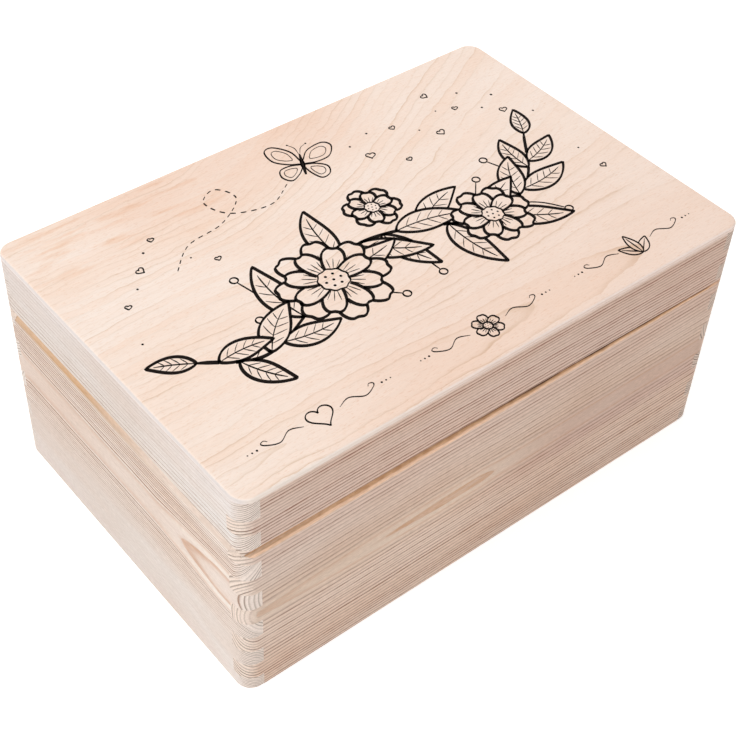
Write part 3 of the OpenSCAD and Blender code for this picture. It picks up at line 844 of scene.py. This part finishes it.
def ribbons(runs):
    """One mesh of closed flat prisms: each run's points shifted half a width to
    the left and right of its direction, between the ink's foot and top."""
    vertices, faces, total = [], [], 0
    for points, widths in runs:
        normal = 1j * np.gradient(points)
        normal /= np.abs(normal)
        sides = [points + normal * widths / 2, points - normal * widths / 2]
        n = len(points)
        loop = [(sides[0], INK_TOP), (sides[1], INK_TOP), (sides[1], INK_FOOT),
                (sides[0], INK_FOOT)]
        vertices += [np.column_stack([p.real, p.imag, np.full(n, z)]) for p, z in loop]
        index = total + np.arange(4 * n).reshape(4, n)
        after = np.roll(index, -1, axis=0)
        faces.append(np.stack([index[:, :-1], index[:, 1:], after[:, 1:], after[:, :-1]],
                              axis=-1).reshape(-1, 4))
        faces.append(np.stack([index[:, 0], index[::-1, -1]]))
        total += 4 * n
    return np.concatenate(vertices) * MM, np.concatenate(faces).tolist()


def ink_black(name):
    """Flatbed printer ink: matt black, a little uneven where the wood drinks it."""
    material, tree = blank_material(name)
    grain = stretched(tree, object_mm(tree), (0.3, 2.5, 2.5), 2.0)
    tone = add(tree, "ValToRGB", (grain,), stops=hexes(((0.35, "0e0806"), (0.70, "1c1410"))))
    shader = add(tree, "BsdfPrincipled", {"Base Color": tone, "Roughness": 0.7,
                                          "Specular IOR Level": 0.06})
    add(tree, "OutputMaterial", (shader,))
    return material


ink = new_piece("lid_line_design", *ribbons(pen_runs), ink_black("printed_ink"), 1.0)
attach(ink, "lid")


# ------------------------------------------------------------------ hinges
# Two small steel butt hinges let into the back, with their pins and brass-
# coloured countersunk wood screws: bright zinc plate, tumbled, not polished.

def plated(name, tone, roughness, seed):
    """Zinc plate on punched steel: fine drawn scratches and a cloudy bloom."""
    material, tree = blank_material(name)
    point = add(tree, "VectorMath", (object_mm(tree), (seed, seed, seed)), operation="ADD")
    scratch = stretched(tree, point, (0.6, 9.0, 9.0), 3.0)
    bloom = stretched(tree, point, (0.5, 0.5, 0.5), 3.0)
    cloudy = add(tree, "MapRange", (bloom, 0.3, 0.7, roughness - 0.06, roughness + 0.08))
    drawn = add(tree, "MapRange", (scratch, 0.3, 0.7, 0.0, 0.06))
    rough = add(tree, "Math", (cloudy, drawn), operation="ADD")
    shade = add(tree, "MapRange", (bloom, 0.3, 0.7, 0.90, 1.04))
    face = add(tree, "VectorMath", {0: colour(tone)[:3], "Scale": shade}, operation="SCALE")
    bump = add(tree, "Bump", {"Strength": 0.2, "Distance": 0.00003, "Height": scratch})
    shader = add(tree, "BsdfPrincipled", {"Base Color": face, "Metallic": 1.0,
                                          "Roughness": rough, "Normal": bump})
    add(tree, "OutputMaterial", (shader,))
    return material


leaf_zinc = plated("zinc_plated_leaf", "cfccc6", 0.34, 3.0)
pin_steel = plated("bright_pin_steel", "bdbab5", 0.26, 11.0)
screw_zinc = plated("yellow_zinc_screw", "d2b67c", 0.30, 23.0)

for node, material, edge in (("left_hinge_box_leaf", leaf_zinc, 0.12),
                             ("right_hinge_box_leaf", leaf_zinc, 0.12),
                             ("left_hinge_lid_leaf", leaf_zinc, 0.12),
                             ("right_hinge_lid_leaf", leaf_zinc, 0.12),
                             ("left_hinge_pin", pin_steel, 0.15),
                             ("right_hinge_pin", pin_steel, 0.15),
                             ("box_leaf_screws", screw_zinc, 0.06),
                             ("lid_leaf_screws", screw_zinc, 0.06)):
    part = nodes[node]
    part.data.materials.clear()
    part.data.materials.append(material)
    weld = part.modifiers.new("weld", "WELD")
    weld.merge_threshold = SAME_POINT
    round_edge = part.modifiers.new("edge", "BEVEL")
    round_edge.width, round_edge.segments = edge * MM, 2
    round_edge.limit_method, round_edge.angle_limit = "ANGLE", math.radians(40.0)


# ------------------------------------------------------------- table, light
# A pale seamless table and plain soft studio light: a large key from behind
# the box's left, a weak fill at the front, and an even room.

def white_table(name):
    """A pale floor that the camera sees as white paper with the box's shadow."""
    material, tree = blank_material(name)
    path = add(tree, "LightPath").node
    seen = add(tree, "Math", (path.outputs["Is Camera Ray"], path.outputs["Is Glossy Ray"]),
               operation="MAXIMUM")
    seen = add(tree, "Math", (seen, path.outputs["Is Transmission Ray"]), operation="MAXIMUM")
    paper = add(tree, "BsdfDiffuse", {"Color": colour("e6e4e2")})
    glow = add(tree, "Emission", {"Color": (1.0, 1.0, 1.0, 1.0), "Strength": 0.55})
    lit = add(tree, "AddShader", (paper, glow))
    add(tree, "OutputMaterial", (add(tree, "MixShader", (seen, paper, lit)),))
    return material


bpy.ops.mesh.primitive_plane_add(size=12.0)
table = bpy.context.object
table.name = "table"
table.data.materials.append(white_table("matt_white_table"))

world = bpy.data.worlds.new("room")
bpy.context.scene.world = world
world.use_nodes = True
room = world.node_tree
room.nodes.clear()
path = add(room, "LightPath").node
seen = add(room, "Math", (path.outputs["Is Camera Ray"], path.outputs["Is Glossy Ray"]),
           operation="MAXIMUM")
dim = add(room, "Background", {"Color": (1.0, 1.0, 1.0, 1.0), "Strength": 0.50})
white = add(room, "Background", {"Color": (1.0, 1.0, 1.0, 1.0), "Strength": 1.0})
add(room, "OutputWorld", (add(room, "MixShader", (seen, dim, white)),))


def soft_box(name, place, size, power):
    """A square area lamp at a place in metres, aimed at the box's middle."""
    lamp = bpy.data.lights.new(name, "AREA")
    lamp.size, lamp.energy = size, power
    holder = bpy.data.objects.new(name, lamp)
    bpy.context.scene.collection.objects.link(holder)
    aim = Vector((0.0, 0.0, 0.06)) - Vector(place)
    holder.matrix_world = (Matrix.Translation(Vector(place))
                           @ aim.to_track_quat("-Z", "Y").to_matrix().to_4x4())


soft_box("key", (-2.0, 0.2, 2.2), size=1.7, power=45.5)
soft_box("fill", (0.2, -1.7, 0.45), size=1.2, power=6.2)
soft_box("back", (0.8, 1.1, 1.2), size=0.9, power=5.0)

bpy.context.scene.view_settings.view_transform = "Standard"
